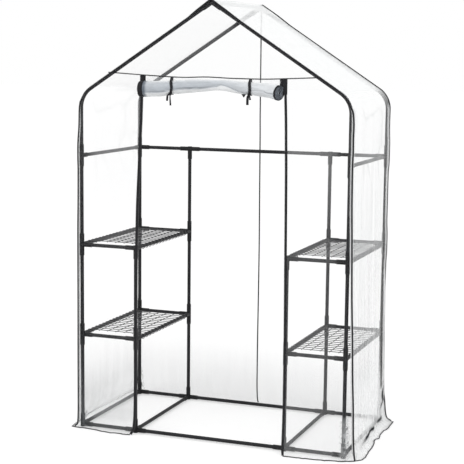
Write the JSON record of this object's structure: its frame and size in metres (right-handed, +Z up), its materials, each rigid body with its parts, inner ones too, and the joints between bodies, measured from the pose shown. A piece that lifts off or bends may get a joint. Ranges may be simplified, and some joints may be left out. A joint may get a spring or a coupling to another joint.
{
  "type": "walk-in greenhouse",
  "caption": "Walk-in greenhouse with a clear film cover on a socketed steel tube frame, wire shelves along both sides and a door rolled up above the doorway.",
  "frame": {"origin": "on the ground, at the middle of the footprint", "axes": "+Z up, the doorway faces -Y, +X to the right seen from the doorway"},
  "size_m": [1.3524, 0.7424, 1.9083],
  "materials": {
    "coated_tube": "dark grey powder coat, satin",
    "coated_wire": "dark grey powder coat, satin",
    "black_plastic": "moulded black plastic, fine grain",
    "clear_film": "clear soft film with light creases",
    "rolled_film": "several layers of clear film, milky",
    "black_tape": "woven black tape"
  },
  "bodies": {
    "root": {"front_left_post": "coated_tube", "front_right_post": "coated_tube", "back_left_post": "coated_tube", "back_right_post": "coated_tube", "inner_front_left_post": "coated_tube", "inner_front_right_post": "coated_tube", "inner_back_left_post": "coated_tube", "inner_back_right_post": "coated_tube", "front_left_rafter": "coated_tube", "front_right_rafter": "coated_tube", "back_left_rafter": "coated_tube", "back_right_rafter": "coated_tube", "ridge_bar": "coated_tube", "front_ground_rail": "coated_tube", "back_ground_rail": "coated_tube", "left_ground_rails": "coated_tube", "right_ground_rails": "coated_tube", "back_middle_rail": "coated_tube", "side_middle_rails": "coated_tube", "left_lower_shelf_rails": "coated_tube", "left_upper_shelf_rails": "coated_tube", "right_lower_shelf_rails": "coated_tube", "right_upper_shelf_rails": "coated_tube", "left_lower_shelf_mesh": "coated_wire", "left_upper_shelf_mesh": "coated_wire", "right_lower_shelf_mesh": "coated_wire", "right_upper_shelf_mesh": "coated_wire", "ground_connectors": "black_plastic", "lower_shelf_connectors": "black_plastic", "upper_shelf_connectors": "black_plastic", "middle_connectors": "black_plastic", "ridge_connectors": "black_plastic", "left_side_sheet": "clear_film", "right_side_sheet": "clear_film", "front_left_panel": "clear_film", "front_right_panel": "clear_film", "front_gable_panel": "clear_film", "back_left_panel": "clear_film", "back_right_panel": "clear_film", "door_roll": "rolled_film", "door_zips": "black_tape", "door_ties": "black_tape", "arch_piping": "black_tape", "cover_seams": "black_tape", "hem_binding": "black_tape"}
  },
  "joints": []
}
